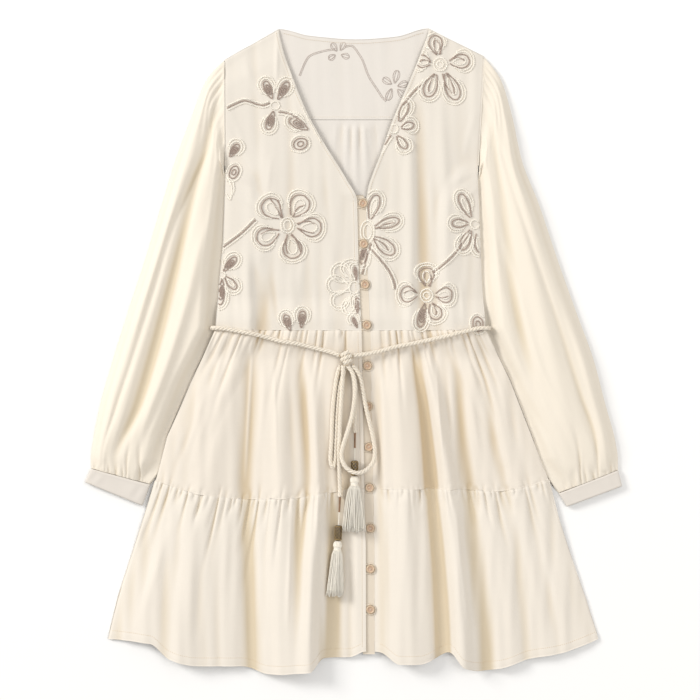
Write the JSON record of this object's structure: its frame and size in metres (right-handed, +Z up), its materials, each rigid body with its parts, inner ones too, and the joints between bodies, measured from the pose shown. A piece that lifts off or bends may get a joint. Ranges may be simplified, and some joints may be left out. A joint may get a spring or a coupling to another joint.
{
  "type": "mini dress",
  "caption": "Mini dress laid flat, front up: V neck, buttoned front, long gathered sleeves with cuffs, two-tier gathered skirt and a tied rope belt with tassels.",
  "frame": {"origin": "middle of the box's underside, on the surface that the dress lies on", "axes": "+Y from the hem to the neck, +Z up off the surface and out of the dress's front, +X to the right as seen from above, which is the wearer's left"},
  "size_m": [0.7327, 0.88, 0.0267],
  "materials": {
    "cotton": "matt woven cotton, cream",
    "rope": "matt twisted cord, cream",
    "button": "satin, tan",
    "tube": "satin, brown",
    "bead": "darkened, patterned",
    "tassel": "matt thread, cream"
  },
  "bodies": {
    "root": {"back_bodice": "cotton", "back_yoke": "cotton", "bead_left": "bead", "bead_right": "bead", "belt_knot": "rope", "belt_loop_left": "rope", "belt_loop_right": "rope", "belt_tail_left": "rope", "belt_tail_right": "rope", "belt_waist": "rope", "button_01": "button", "button_02": "button", "button_03": "button", "button_04": "button", "button_05": "button", "button_06": "button", "button_07": "button", "button_08": "button", "button_09": "button", "button_10": "button", "button_11": "button", "button_band": "cotton", "button_loop_01": "cotton", "button_loop_02": "cotton", "button_loop_03": "cotton", "button_loop_04": "cotton", "button_loop_05": "cotton", "button_loop_06": "cotton", "button_loop_07": "cotton", "button_loop_08": "cotton", "button_loop_09": "cotton", "button_loop_10": "cotton", "button_loop_11": "cotton", "cuff_left": "cotton", "cuff_right": "cotton", "drop_thread_left": "tassel", "drop_thread_right": "tassel", "drop_tube_left": "tube", "drop_tube_right": "tube", "front_bodice_left": "cotton", "front_bodice_right": "cotton", "lower_skirt_back": "cotton", "lower_skirt_left": "cotton", "lower_skirt_right": "cotton", "sleeve_left": "cotton", "sleeve_right": "cotton", "tassel_left": "tassel", "tassel_right": "tassel", "upper_skirt_back": "cotton", "upper_skirt_left": "cotton", "upper_skirt_right": "cotton"}
  },
  "joints": []
}
